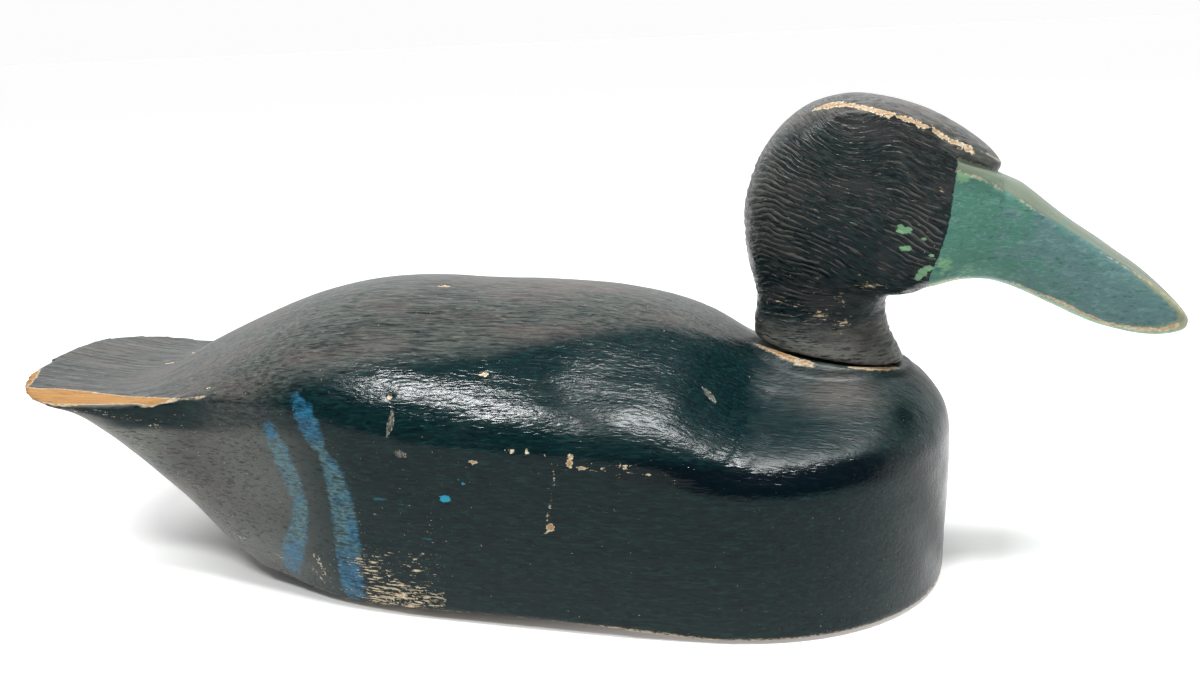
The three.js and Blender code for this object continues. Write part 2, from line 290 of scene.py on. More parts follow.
def lattice_noise(points, seed):
    """Smooth noise between -1 and 1 over an (n, 3) array, the same in every run."""
    cell = np.floor(points).astype(np.int64)
    part = points - cell
    part = part * part * (3.0 - 2.0 * part)
    total = np.zeros(len(points))
    for corner in itertools.product((0, 1), repeat=3):
        mixed = np.bitwise_xor.reduce((cell + corner) * PLACE_MIXERS, axis=1) ^ (seed * SEED_MIXER)
        mixed = ((mixed ^ (mixed >> 13)) * LAST_MIXER) & LOW_31_BITS
        mixed = mixed ^ (mixed >> 15)
        weight = np.where(corner, part, 1.0 - part).prod(axis=1)
        total += weight * ((mixed & LOW_16_BITS) / (LOW_16_BITS / 2) - 1.0)
    return total


def layered_noise(points, seed, layers=3):
    """Lattice noise with finer and fainter layers on top."""
    return sum(
        lattice_noise(points * 2.0**layer + LAYER_SHIFT * layer, seed + layer) * 0.5**layer
        for layer in range(layers)
    )


def hill(points, middle, half_sizes):
    """Height from 0 to 1 over a soft oval hill."""
    return np.exp(-(((points - middle) / half_sizes) ** 2).sum(axis=1))


def band(gap, half_width):
    """Strength from 0 to 1 of a soft band along a line, at some distance from it."""
    return np.exp(-((gap / half_width) ** 2))


def soft_spots(points, spots):
    """Strength of soft ovals, each with its middle, half sizes and greatest strength."""
    strengths = [strength * hill(points, oval[:2], oval[2:]) for *oval, strength in spots]
    return np.maximum.reduce(strengths)


def spot_distance(points, spots):
    """Distance of points to the nearest of some flat ovals, negative inside and FAR at most."""
    best = np.full(len(points), FAR)
    for *middle, half_length, half_height in spots:
        away = points - np.asarray(middle, float)
        radius = np.hypot(away[:, 0] / half_length, np.linalg.norm(away[:, 1:], axis=1) / half_height)
        best = np.minimum(best, (radius - 1.0) * min(half_length, half_height))
    return best


def line_distance(points, line):
    """Distance of points to a line less half its width, which stands last in each of its places."""
    places = np.array([place[:-1] for place in line], float)
    halves = np.array([place[-1] for place in line], float) / 2.0
    best = np.full(len(points), FAR)
    for start, end, half_start, half_end in zip(places[:-1], places[1:], halves[:-1], halves[1:]):
        part = np.clip(((points - start) @ (end - start)) / ((end - start) @ (end - start)), 0.0, 1.0)
        gap = np.linalg.norm(points - start - part[:, None] * (end - start), axis=1)
        best = np.minimum(best, gap - half_start - (half_end - half_start) * part)
    return best


def nearest(points, lines):
    """Distance of points to the nearest of some lines."""
    return np.minimum.reduce([line_distance(points, line) for line in lines])


def even(line, width=0.0):
    """A line with the same width all along."""
    return [(*place, width) for place in line]


def along(x, table):
    """Value at x of a table of (x, value)."""
    return np.interp(x, *np.asarray(table, float).T)


def outline_gap(places):
    """How far each vertex lies inside the widest line of the piece at its own length."""
    x, y = places[:, 0], np.abs(places[:, 1])
    slices = np.floor(x).astype(int) - int(np.floor(x.min()))
    widest = np.zeros(slices.max() + 1)
    np.maximum.at(widest, slices, y)
    return widest[slices] - y


def only(piece):
    """Selects one object and makes it the active one."""
    bpy.ops.object.select_all(action="DESELECT")
    piece.select_set(True)
    bpy.context.view_layer.objects.active = piece


def apply_modifier(piece, kind, **settings):
    """Adds a modifier, sets it and applies it at once."""
    modifier = piece.modifiers.new(kind.title(), kind)
    for name, value in settings.items():
        setattr(modifier, name, value)
    only(piece)
    bpy.ops.object.modifier_apply(modifier=modifier.name)


def carved_blank(node, name, grain):
    """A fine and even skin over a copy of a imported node, with its crisp edges kept."""
    piece = bpy.data.objects.new(name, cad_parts[node].data.copy())
    bpy.context.scene.collection.objects.link(piece)
    only(piece)
    bpy.ops.object.mode_set(mode="EDIT")
    bpy.ops.mesh.select_all(action="SELECT")
    bpy.ops.mesh.remove_doubles(threshold=0.02 * MM)
    bpy.ops.mesh.tris_convert_to_quads(face_threshold=FLAT_TURN, shape_threshold=SKEW_TURN)
    bpy.ops.mesh.select_all(action="DESELECT")
    bpy.ops.mesh.edges_select_sharp(sharpness=CRISP_TURN)
    bpy.ops.transform.edge_crease(value=0.9)
    bpy.ops.object.mode_set(mode="OBJECT")
    apply_modifier(piece, "SUBSURF", levels=2, render_levels=2)
    apply_modifier(piece, "REMESH", mode="VOXEL", voxel_size=grain)
    apply_modifier(piece, "SMOOTH", factor=0.5, iterations=3)
    return piece


def read_skin(piece):
    """Places in millimetres and outward normals of a piece's vertices."""
    mesh = piece.data
    places = np.empty(len(mesh.vertices) * 3)
    mesh.vertices.foreach_get("co", places)
    normals = np.empty(len(mesh.vertices) * 3)
    mesh.vertex_normals.foreach_get("vector", normals)
    return places.reshape(-1, 3) / MM, normals.reshape(-1, 3)


def write_skin(piece, places, box):
    """Moves the vertices to new places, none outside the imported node's box."""
    low, high = (np.array(corner) / MM for corner in box)
    piece.data.vertices.foreach_set("co", (np.clip(places, low, high) * MM).ravel())
    piece.data.update()


def write_layers(piece, layers):
    """Keeps numbers for each vertex, which the finish reads by their names."""
    for name, values in layers.items():
        layer = piece.data.attributes.new(name, "FLOAT", "POINT")
        layer.data.foreach_set("value", values.astype(np.float32))


def body_marks(places, normals, form):
    """Depth of the tool marks over the block, outwards, in millimetres."""
    x, y, z = places.T
    up = normals[:, 2]
    side = places[:, [0, 2]]
    plan = np.column_stack([x, np.abs(y)])
    uneven = layered_noise(places / (38, 22, 18), seed=3) * smooth(z, 0.5, 8)
    back = smooth(up, 0.15, 0.5) * smooth(x, *BACK_START)
    wander = 3.0 * lattice_noise(places / (40, 30, 30), seed=11)
    strokes = layered_noise(np.column_stack([x / 22, (y + wander + 0.12 * x) / 2.2, z / 4.0]), seed=21)
    tail = smooth(up, 0.6, 0.9) * smooth(x, *TAIL_START)
    grooves = layered_noise(np.column_stack([x / 60, y / 2.6, x * 0]), seed=31)
    wall = smooth(np.abs(up), 0.4, 0.15)
    ripples = layered_noise(np.column_stack([x / 14, y / 14, z / 2.4]), seed=41)
    rasped = hill(plan, *SHOULDER_RASP) * smooth(up, 0.2, 0.5)
    across = (plan - RASP_START) @ RASP_ACROSS
    lengthwise = (plan @ RASP_ALONG) / 16
    rasp = layered_noise(np.column_stack([across / 2.1, lengthwise, x * 0]), seed=51)
    hollow = hill(side, *SHOULDER_HOLLOW) * smooth(plan[:, 1], 40, 52)
    swell = hill(side, *SHOULDER_SWELL) * smooth(plan[:, 1], 34, 52)
    scoop = hill(plan, *SHOULDER_SCOOP) * smooth(up, 0.3, 0.7)
    eased = band(line_distance(side, even(SHOULDER_EDGE)), 3.8)
    eased = eased * smooth(x, *EASED_START) * smooth(x, *SHOULDER_FADE)
    return (
        form.uneven_depth * uneven
        + form.stroke_depth * (back * strokes + 0.6 * wall * ripples)
        + form.tail_depth * tail * grooves * smooth(outline_gap(places), 1, 6)
        + form.rasp_depth * rasped * rasp
        + form.hollow_depth * (1.6 * swell - 0.5 * hollow - 0.8 * scoop - 1.3 * eased)
    )


def off_seat(places):
    """How far a place lies outside the oval that the neck stands on."""
    middle, half_length, half_width = NECK_SEAT
    return (np.hypot((places[:, 0] - middle) / half_length, places[:, 1] / half_width) - 1.0) * half_width


def seat_rise(places, form):
    """How far the paint and wood under the neck's edge rise to the level of its seat."""
    x, _, z = places.T
    level = SEAT_REAR_LEVEL - SEAT_FALL * (x - SEAT_REAR_X)
    under_neck = smooth(off_seat(places), 3.2, 0.4) * smooth(z, 66, 69)
    return form.seat_rise * np.clip(level - z, 0.0, SEAT_MOST_RISE) * under_neck


def ease_shoulder(piece):
    """Rounds the broad facets of the back and the shoulder, away from the crisp edges."""
    places, normals = read_skin(piece)
    x, _, z = places.T
    weights = smooth(normals[:, 2], 0.1, 0.35) * smooth(z, 58, 65)
    weights = weights * smooth(off_seat(places), 4, 9) * smooth(x, -132, -110)
    group = piece.vertex_groups.new(name="eased")
    for tenth in range(1, 11):
        members = np.flatnonzero(np.round(weights * 10) == tenth)
        group.add(members.tolist(), tenth / 10, "REPLACE")
    apply_modifier(piece, "SMOOTH", factor=0.5, iterations=60, vertex_group="eased")
    piece.vertex_groups.clear()


def painted_marks(places):
    """Distances to the strokes, drops and scrapes of the body."""
    side = places[:, [0, 2]]
    x, z = side.T
    ring_x, ring_z, ring_half_x, ring_half_z = RING_MARK
    ring = np.hypot((x - ring_x) / ring_half_x, (z - ring_z) / ring_half_z)
    on_near_side = {
        "strokes": nearest(side, BLUE_STROKES),
        "blue_spots": spot_distance(side, BLUE_SPOTS),
        "faint_spots": spot_distance(side, FAINT_BLUE_SPOTS),
        "scratches": nearest(side, SCRATCHES),
        "ring_mark": np.abs(ring - 1.0) * ring_half_x,
    }
    layers = {name: np.where(places[:, 1] < 0, gap, FAR) for name, gap in on_near_side.items()}
    return {**layers, "scrapes": nearest(places, SCRAPES)}


def worn_places(places, normals):
    """Strength of the wear, of the painted shade on the faces turned down and of the painted shade along the
    shoulder and on the breast, and height over the foot.
    """
    x, y, z = places.T
    side = places[:, [0, 2]]
    near = y < 0
    up = normals[:, 2]
    wear = soft_spots(side, BODY_WEAR)
    wear = np.where((z < SCUFF_TOP) & near, wear * smooth(x, SCUFF_END_X + 0.6, SCUFF_END_X - 0.6), wear)
    wear = np.maximum.reduce([
        wear,
        0.85 * band(z, 2.2),
        0.6 * band(line_distance(side, even(TAIL_FACET_EDGE, 0.6)), 0.9),
    ])
    # Painted shade: a dark band along the shoulder's edge, a dark spot on the breast and darker faces at the
    # breast's front
    dark = smooth(line_distance(side, even(SHOULDER_EDGE)), 5.5, 2.5)
    dark = np.maximum.reduce([
        dark * smooth(x, *DARK_START) * smooth(x, *SHOULDER_FADE),
        0.9 * hill(places, *BREAST_SHADE),
        0.5 * smooth(x, 98, 114) * smooth(up, 0.5, 0.2),
    ])
    return {
        "wear": wear * np.where(near, 1.0, 0.55),
        # Painted shade on the faces turned down
        "underside_shade": smooth(up, -0.6, -0.9),
        "shoulder_shade": dark,
        "foot": z - along(x, FOOT_HEIGHTS) * np.where(near, 1.0, 0.5),
    }


def bare_places(places):
    """Distances to the bare wood round the neck and along the tail's near edge."""
    x, y, z = places.T
    plan = places[:, :2]
    tail = np.maximum(y - along(x, TAIL_BARE_INNER), along(x, TAIL_BARE_OUTER) - y)
    tail = np.maximum(tail, along(x, TAIL_BARE_HEIGHTS) - z)
    ending = (x - TAIL_BARE_ENDS) * TAIL_BARE_ENDING
    tail = np.maximum(tail + np.maximum(0.0, (x - TAIL_BARE_THINS) * TAIL_BARE_THINNING), ending)
    tail = np.minimum(tail, line_distance(plan, TAIL_TIP))
    return {
        "neck_bare": np.where(z > NECK_BARE_LOWEST, nearest(plan, NECK_BARE), FAR),
        "tail_bare": np.where(y < 0, tail, FAR),
    }


def dulled_places(places, normals):
    """Strength of the dulled, the matt and the dusty paint, which beside the neck also make a lighter patch
    that is a painted highlight.
    """
    x, y, z = places.T
    up = normals[:, 2]
    plan = np.column_stack([x, np.abs(y)])
    sharp_facet = smooth(x, *FACET_START) * smooth(np.abs(up), 0.5, 0.2) * smooth(z, 56, 59)
    # A duller, lighter patch beside the neck: a painted highlight
    highlight_pad = hill(plan, *NECK_HIGHLIGHT_PAD) * smooth(up, 0.6, 0.85)
    dull = np.maximum.reduce([
        smooth(plan[:, 1] - along(x, DULL_BACK), 5, -5) * smooth(up, 0.1, 0.4),
        smooth(up, 0.4, 0.8) * smooth(x, -115, -135),
        0.85 * smooth(up, 0.5, 0.1) * smooth(x, -86, -130),
        0.12 * smooth(x, 84, 112),
        highlight_pad,
    ])
    mottle = 0.85 + 0.3 * layered_noise(places / (24, 14, 14), seed=91)
    stern = np.maximum(0.5 * smooth(x, -72, -112), smooth(x, -122, -160))
    ash = np.maximum.reduce([smooth(z, 65, 57) * stern * mottle, 0.12 * dull, 0.2 * highlight_pad])
    return {
        "matt": np.maximum(0.3 * smooth(x, -6, 6), smooth(x, 50, 62)) * smooth(up, 0.0, 0.2),
        "dull": dull * (1.0 - sharp_facet),
        "ash": ash * (1.0 - sharp_facet),
    }


def carve_body(piece, form):
    """Tool marks, chips, the lifted lower edge and the places where the finish changes."""
    ease_shoulder(piece)
    places, normals = read_skin(piece)
    x, _, z = places.T
    chips = spot_distance(places, CHIPS) + 0.4 * lattice_noise(places / (1.8, 1.5, 1.5), seed=81)
    write_layers(piece, {
        **painted_marks(places),
        **worn_places(places, normals),
        **bare_places(places),
        **dulled_places(places, normals),
        "chips": chips,
    })
    marks = body_marks(places, normals, form) - form.chip_depth * smooth(chips, 0.3, -0.3)
    lifted = smooth(x, *LIFT_REAR) * smooth(x, *LIFT_FRONT)
    lifted = lifted * smooth(outline_gap(places), 16, 1) * smooth(z, 7, 1.5)
    carved = places + normals * marks[:, None]
    carved[:, 2] += form.edge_lift * lifted + seat_rise(places, form)
    write_skin(piece, carved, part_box("body"))


def rasp_course(places):
    """Height on the head's side, bent as the rasp was led: falling forwards, and level on the neck."""
    x, _, z = places.T
    ahead = x - COURSE_CREST
    bend = np.where(ahead < 0, 0.035 * ahead**2, 0.5 * ahead - 3.0 * (1 - np.exp(-ahead / 9)))
    steeper = 1.0 + smooth(z, 124, 154) * 1.3 * smooth(x, 104, 76)
    return z + bend * steeper * smooth(z, 94, 106)


def head_marks(places, course):
    """Depth of the rasp marks, in parts of their full depth."""
    x, y, _ = places.T
    warp = 1.2 * lattice_noise(places / (14, 14, 14), seed=61)
    lines = np.column_stack([(course + warp) / 2.1, x / 9, y / 8])
    wide = lattice_noise(lines, seed=62) + 0.6 * lattice_noise(lines * (2.1, 1.8, 1.6), seed=63)
    return 0.35 - np.abs(wide) ** 0.7


def over_lip(places):
    """How far a place lies over the lower line of the lip, square to that line."""
    line = LIP_LINE_Z - LIP_LINE_FALL * (places[:, 0] - LIP_LINE_X)
    return (places[:, 2] - line) * LIP_LINE_COSINE


def crown_part(places, normals):
    """Strength of the smooth crown and the top of the lip."""
    x, _, z = places.T
    crown = smooth(normals[:, 2], 0.45, 0.75) * smooth(z, 140, 146)
    return np.clip(crown + smooth(over_lip(places), -1, 1) * smooth(x, 112, 118), 0.0, 1.0)


def head_layers(places, crown):
    """The numbers that say where the head's finish changes."""
    x, y, z = places.T
    near = y < 0
    side = places[:, [0, 2]]
    mirrored = np.column_stack([x, -np.abs(y), z])
    bill_start = [(height, ahead) for ahead, height in reversed(BILL_LINE)]
    bill = np.minimum(x - along(z, bill_start), -over_lip(places))
    top_heights = [(ahead, height) for ahead, _, height in BILL_TOP_EDGE]
    low_heights = [(ahead, height) for ahead, _, height in BILL_LOW_EDGE]
    mottle = 2.5 * layered_noise(places / (7, 7, 4), seed=77)
    rear = 0.8 * smooth(x, 78, 58) * smooth(z, 106, 124)
    cheek = 0.45 * smooth(z, 112, 136)
    rasped = np.maximum(soft_spots(side, RASPED), 0.12)
    return {
        "course": rasp_course(places),
        "bill": bill,
        "ridge": line_distance(mirrored, CROWN_RIDGE) + np.where(near, 0.0, 0.5),
        "lip_edge": line_distance(mirrored, even(LIP_EDGE, 0.7)),
        "top_edge": line_distance(mirrored, even(BILL_TOP_EDGE, 0.8)),
        "low_edge": line_distance(mirrored, even(BILL_LOW_EDGE, 0.8)),
        "bill_top": z - along(x, top_heights),
        "bill_low": along(x, low_heights) - z,
        "green_spots": np.where(near, spot_distance(side, GREEN_SPOTS), FAR),
        "pale": soft_spots(side, PALE_PATCHES) * smooth(bill, -2, 1),
        "wear": soft_spots(side, HEAD_WEAR) * np.where(near, 1.0, 0.5),
        "rasped": rasped * (1.0 - crown) * smooth(z, 86, 92),
        "dull": np.maximum.reduce([crown, rear, cheek, smooth(z, 93, 86)]),
        "ash": np.maximum(0.2 * crown, 0.6 * smooth(z + mottle, 93, 82)),
    }


def carve_head(piece, form):
    """Rasp marks, the lip over the bill, crisp bill edges and the places where the finish changes."""
    places, normals = read_skin(piece)
    x, y, z = places.T
    crown = crown_part(places, normals)
    layers = head_layers(places, crown)
    write_layers(piece, layers)
    cheeks = smooth(layers["bill"], 0.5, -2.5) * (1.0 - crown) * smooth(z, 74, 82)
    patchy = 0.75 + 0.35 * lattice_noise(places / (18, 18, 14), seed=71)
    patchy = patchy * (1.0 - 0.35 * smooth(z, 100, 84))
    rise = over_lip(places)
    lip = smooth(rise, 0.2, 1.2) * smooth(rise, 9, 2) - smooth(rise, -2.4, -0.4) * smooth(rise, 0.5, -0.2)
    lip = lip * smooth(np.abs(y), 21, 19) * smooth(x, 119, 122)
    edges = band(layers["top_edge"], 1.6) + 0.5 * band(layers["low_edge"], 1.5)
    marks = (
        form.head_rasp_depth * cheeks * patchy * head_marks(places, layers["course"])
        + 0.12 * layered_noise(places / (14, 9, 9), seed=73)
        + form.lip_height * lip
        + form.bill_edge_height * edges * smooth(layers["bill"], -1, 2)
    )
    write_skin(piece, places + normals * marks[:, None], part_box("head"))


class Wire:
    """The value of one socket, for shader maths written as plain expressions."""

    def __init__(self, maker, socket):
        self.maker = maker
        self.socket = socket

    def _math(self, operation, first, second):
        return self.maker.node("ShaderNodeMath", {"operation": operation}, {0: first, 1: second})

    def __add__(self, other):
        return self._math("ADD", self, other)

    __radd__ = __add__

    def __sub__(self, other):
        return self._math("SUBTRACT", self, other)

    def __rsub__(self, other):
        return self._math("SUBTRACT", other, self)

    def __mul__(self, other):
        return self._math("MULTIPLY", self, other)

    __rmul__ = __mul__

    def __truediv__(self, other):
        return self._math("DIVIDE", self, other)

    def __neg__(self):
        return self._math("MULTIPLY", self, -1.0)


class NodeMaker:
    """The few kinds of node that the finishes and the light of the room are made of."""

    def __init__(self, tree):
        self.tree = tree
        tree.nodes.clear()

    def node(self, kind, settings, sockets, output=0):
        """Adds a node with its settings, then its sockets' values or links, and gives one output."""
        node = self.tree.nodes.new(kind)
        for name, value in settings.items():
            setattr(node, name, value)
        for name, value in sockets.items():
            socket = node.inputs[name]
            if isinstance(value, Wire):
                self.tree.links.new(value.socket, socket)
            else:
                socket.default_value = value
        return Wire(self, node.outputs[output]) if node.outputs else None

    def join(self, x, y, z):
        """A place from three numbers."""
        return self.node("ShaderNodeCombineXYZ", {}, {0: x, 1: y, 2: z})

    def split(self, place):
        """X, Y and Z of a place."""
        node = self.tree.nodes.new("ShaderNodeSeparateXYZ")
        self.tree.links.new(place.socket, node.inputs[0])
        return [Wire(self, socket) for socket in node.outputs]

    def vector(self, operation, place, other):
        """A place worked on with another one, axis by axis."""
        return self.node("ShaderNodeVectorMath", {"operation": operation}, {0: place, 1: other})

    def reach(self, place):
        """How far a place lies from the origin."""
        return self.node("ShaderNodeVectorMath", {"operation": "LENGTH"}, {0: place}, "Value")

    def step(self, value, low, high):
        """Rises smoothly from 0 at low to 1 at high, or falls where low is the larger."""
        if low > high:
            return 1.0 - self.step(value, high, low)
        sockets = {"Value": value, "From Min": low, "From Max": high}
        return self.node("ShaderNodeMapRange", {"interpolation_type": "SMOOTHSTEP"}, sockets)

    def mix(self, factor, first, second):
        """One number over another."""
        settings = {"data_type": "FLOAT", "clamp_factor": True}
        sockets = {MIX_FACTOR: factor, **dict(zip(MIX_NUMBERS, (first, second)))}
        return self.node("ShaderNodeMix", settings, sockets)

    def most(self, first, *others):
        """The largest of some numbers."""
        for other in others:
            first = self.node("ShaderNodeMath", {"operation": "MAXIMUM"}, {0: first, 1: other})
        return first

    def least(self, first, second):
        """The smaller of two numbers."""
        return self.node("ShaderNodeMath", {"operation": "MINIMUM"}, {0: first, 1: second})


class Finish(NodeMaker):
    """A material whose patterns are laid out on the piece in millimetres."""

    def __init__(self, name):
        self.material = bpy.data.materials.new(name)
        self.material.use_nodes = True
        super().__init__(self.material.node_tree)
        self.metres = self.node("ShaderNodeTexCoord", {}, {}, "Object")
        sockets = {0: self.metres, "Scale": 1.0 / MM}
        self.place = self.node("ShaderNodeVectorMath", {"operation": "SCALE"}, sockets)

    def layer(self, name):
        """One of the numbers kept on the mesh."""
        return self.node("ShaderNodeAttribute", {"attribute_name": name}, {}, "Fac")

    def mark(self, name, ragged, low, high):
        """Strength of a mark whose distance is kept on the mesh, with a ragged edge."""
        return self.step(self.layer(name) + ragged, low, high)

    def noise(self, sizes, shift=0.0, **settings):
        """Noise between 0 and 1 whose features have the given sizes along X, Y and Z, in millimetres."""
        place = self.vector("MULTIPLY", self.place, tuple(1.0 / size for size in sizes))
        if shift:
            place = self.vector("ADD", place, tuple(shift * part for part in FINISH_SHIFT))
        return self.noise_at(place, **settings)

    def noise_at(self, place, detail=3.0, rough=0.55, warp=0.0):
        """Noise between 0 and 1 over a given place."""
        sockets = {"Vector": place, "Scale": 1.0, "Detail": detail, "Roughness": rough, "Distortion": warp}
        return self.node("ShaderNodeTexNoise", {}, sockets)

    def blend(self, factor, first, second):
        """One colour over another."""
        pair = [colour if isinstance(colour, Wire) else (*colour, 1.0) for colour in (first, second)]
        settings = {"data_type": "RGBA", "clamp_factor": True}
        sockets = {MIX_FACTOR: factor, **dict(zip(MIX_COLOURS, pair))}
        return self.node("ShaderNodeMix", settings, sockets, MIX_COLOUR_OUT)

    def coats(self, colour, *coats):
        """Coats laid over a colour one after the other, each given by its cover and its own colour."""
        for cover, coat in coats:
            colour = self.blend(cover, colour, coat)
        return colour

    def end(self, sockets):
        """Ends the material with its surface."""
        surface = self.node("ShaderNodeBsdfPrincipled", {}, sockets)
        self.node("ShaderNodeOutputMaterial", {}, {"Surface": surface})
        return self.material

    def relief(self, height):
        """The normal of a relief in millimetres."""
        return self.node("ShaderNodeBump", {}, {"Strength": 1.0, "Distance": MM, "Height": height})


def bare_wood(finish, paint, shift=0.0):
    """Dry orange softwood with its grain along the block."""
    grain = finish.noise((22, 0.7, 0.7), shift=shift, detail=4.0)
    colour = finish.blend(finish.step(grain, 0.3, 0.7), paint.wood_dark, paint.wood)
    grime = finish.noise((6, 1.6, 1.6), shift=shift + 3.0, detail=4.0)
    return finish.blend(finish.step(grime, 0.56, 0.72) * 0.7, colour, paint.grime)


def old_black(finish, paint, coat, hair, dull):
    """Old brushed black, teal where it is thick and charcoal brown where it has dulled, with painted shade in
    the hollows of its brush marks and a painted sheen on the high ones.
    """
    patch = finish.step(finish.noise((26, 9, 6), shift=5.0, detail=4.0, rough=0.6), 0.48, 0.7)
    ash = finish.layer("ash")
    bloom = finish.most(finish.step(coat, 0.5, 0.7), finish.step(hair, 0.5, 0.68))
    tinge = finish.step(finish.noise((38, 20, 16), shift=61.0), 0.44, 0.64)
    return finish.coats(
        finish.blend(finish.most(dull, patch * 0.3), paint.black, paint.warm_black),
        (ash, paint.ash),
        # Painted shade in the hollows of the brush marks and painted sheen on their high parts; on the dulled
        # paint, dark streaks and a dusty grey bloom
        (finish.step(coat, 0.5, 0.3) * finish.mix(ash, 0.85, 0.65), paint.shade_and_dark_streaks),
        (finish.step(coat, 0.53, 0.66) * 0.5, paint.sheen),
        (finish.step(hair, 0.49, 0.35) * dull, paint.shade_and_dark_streaks),
        (bloom * dull * 0.7, paint.dust_and_highlight),
        (tinge * dull * 0.3, paint.tinge),
    )


def old_cream(finish, paint, fleck):
    """The dirty pale ground that shows where the black has come off."""
    return finish.blend(finish.step(fleck, 0.35, 0.65), paint.cream, paint.cream_dark)


def body_finish(paint):
    """Black brushed block with blue strokes, scuffs, chips and bare edges."""
    finish = Finish("decoy_body_paint")
    x, _, z = finish.split(finish.place)
    dull = finish.layer("dull")
    wear = finish.layer("wear")
    shoulder = finish.layer("shoulder_shade")
    ragged = finish.noise((2.6, 1.1, 1.1), detail=5.0, rough=0.65) - 0.5
    fleck = finish.noise((1.3, 0.7, 0.7), shift=2.0, detail=4.0, rough=0.65)
    speckle = fleck - 0.5
    hair = finish.noise((12, 0.75, 0.75), shift=7.0, detail=4.0, rough=0.62, warp=0.5)
    coat = finish.noise((4.6, 0.95, 0.95), shift=21.0, detail=4.0, rough=0.6, warp=0.8)
    ridges = finish.noise((4.4, 1.2, 1.2), shift=27.0, detail=1.5, rough=0.45, warp=0.9)
    grooves = finish.noise((60, 1.6, 30), shift=33.0, detail=4.0, rough=0.65)
    on_tail = finish.step(x, *GROOVED_PAINT_START) * finish.step(z, *GROOVED_PAINT_LEVEL)

    stroke = finish.mark("strokes", ragged * 5.5, 0.8, -1.0)
    stroke = stroke * finish.step(hair, 0.3, 0.55) * (0.35 + finish.step(coat, 0.35, 0.6) * 0.65)
    shade = finish.noise((7, 7, 9), shift=13.0, detail=2.0)
    ends = finish.most(finish.step(z, 56.0, 64.0), finish.step(z, 26.0, 14.0))
    blue = finish.blend(finish.step(shade + ends * 0.3, 0.45, 0.75), paint.dim_blue, paint.blue)
    drop = finish.mark("blue_spots", speckle * 1.2, 0.1, -0.15)
    faint_drop = finish.mark("faint_spots", ragged * 2.6, -0.1, -0.4)

    comb = finish.noise((4.2, 4.2, 0.62), shift=11.0, rough=0.6)
    specks = finish.noise((1.1, 1.1, 0.55), shift=15.0, detail=2.0, rough=0.5)
    rubbed = finish.most(
        finish.step(comb + wear * 0.3, 0.765, 0.815),
        finish.step(specks + wear * 0.16, 0.755, 0.79),
    )
    scratch = finish.mark("scratches", speckle * 2.2, 0.0, -0.3)
    ring = finish.mark("ring_mark", speckle * 1.4, 0.05, -0.15)
    scrape = finish.layer("scrapes") + ragged * 1.2
    streaks = finish.step(finish.noise((0.8, 0.8, 3.0), shift=9.0, rough=0.6), 0.44, 0.62)
    scraped = finish.most(
        finish.step(scrape, 0.05, -0.2) * finish.mix(streaks, 0.12, 0.6),
        finish.step(scrape, 0.12, 0.0) * finish.step(scrape, -0.3, -0.1) * streaks,
    )

    chips = finish.layer("chips") + speckle * 1.4 + 0.12
    foot = finish.layer("foot") + ragged * 1.7
    neck = finish.layer("neck_bare") + ragged * 2.4
    tail = finish.layer("tail_bare") + ragged * 1.8
    rim = finish.most(
        finish.most(finish.step(neck, 0.8, 0.2), finish.step(tail, 0.8, 0.3)) * 0.7,
        finish.step(foot, 1.1, 0.3) * finish.step(fleck, 0.42, 0.54),
        finish.step(chips, 0.14, 0.04),
    )
    bare = finish.most(finish.step(neck, 0.15, -0.2), finish.step(tail, 0.2, -0.2))
    under = finish.step(foot, 0.25, -0.1)

    cream = old_cream(finish, paint, fleck)
    wood = bare_wood(finish, paint)
    # Painted shade: the old wood darkens on the faces turned down
    old_wood = finish.coats(wood, (0.85, paint.soiled_wood), (finish.layer("underside_shade") * 0.75, paint.grime))
    colour = finish.coats(
        old_black(finish, paint, coat, hair, dull),
        # Painted sheen: light teal streaks along the brush marks of the sides
        (finish.step(hair, 0.54, 0.7) * 0.42, paint.sheen),
        # Painted shade along the shoulder's edge and on the breast
        (shoulder * 0.85, paint.shade_and_dark_streaks),
        # Painted shade in the tail's grooves and painted highlight on their ridges
        (finish.step(grooves, 0.5, 0.34) * on_tail * 0.75, paint.shade_and_dark_streaks),
        (finish.step(grooves, 0.52, 0.7) * on_tail * 0.5, paint.dust_and_highlight),
        (stroke * 0.92, blue),
        (finish.most(drop, faint_drop * 0.3), paint.spot_blue),
        (finish.most(rubbed, scratch * 0.75), cream),
        (finish.most(scraped, ring * 0.6), paint.scrape),
        (rim, cream),
        (finish.step(chips, -0.15, -0.4) * 0.75, wood),
        (under, old_wood),
        (bare, wood),
    )

    dry = finish.most(bare, under, rubbed, rim)
    pits = finish.step(chips, 0.14, -0.02) * 0.05 + finish.step(tail, 0.5, 0.1) * 0.12
    brushed = ridges * paint.brush_relief + coat * 0.03 + fleck * 0.015
    relief = brushed - dry * 0.1 + stroke * 0.03 - pits + grooves * on_tail * 0.4
    flat = finish.most(dull, stroke * 0.6, finish.layer("matt") - shoulder)
    roughness = finish.mix(dry, finish.mix(flat, 0.17, 0.38) + (hair - 0.5) * 0.1, 0.75)
    return finish.end({
        "Base Color": colour,
        "Roughness": roughness,
        "Normal": finish.relief(relief),
        "Specular IOR Level": paint.gloss,
    })


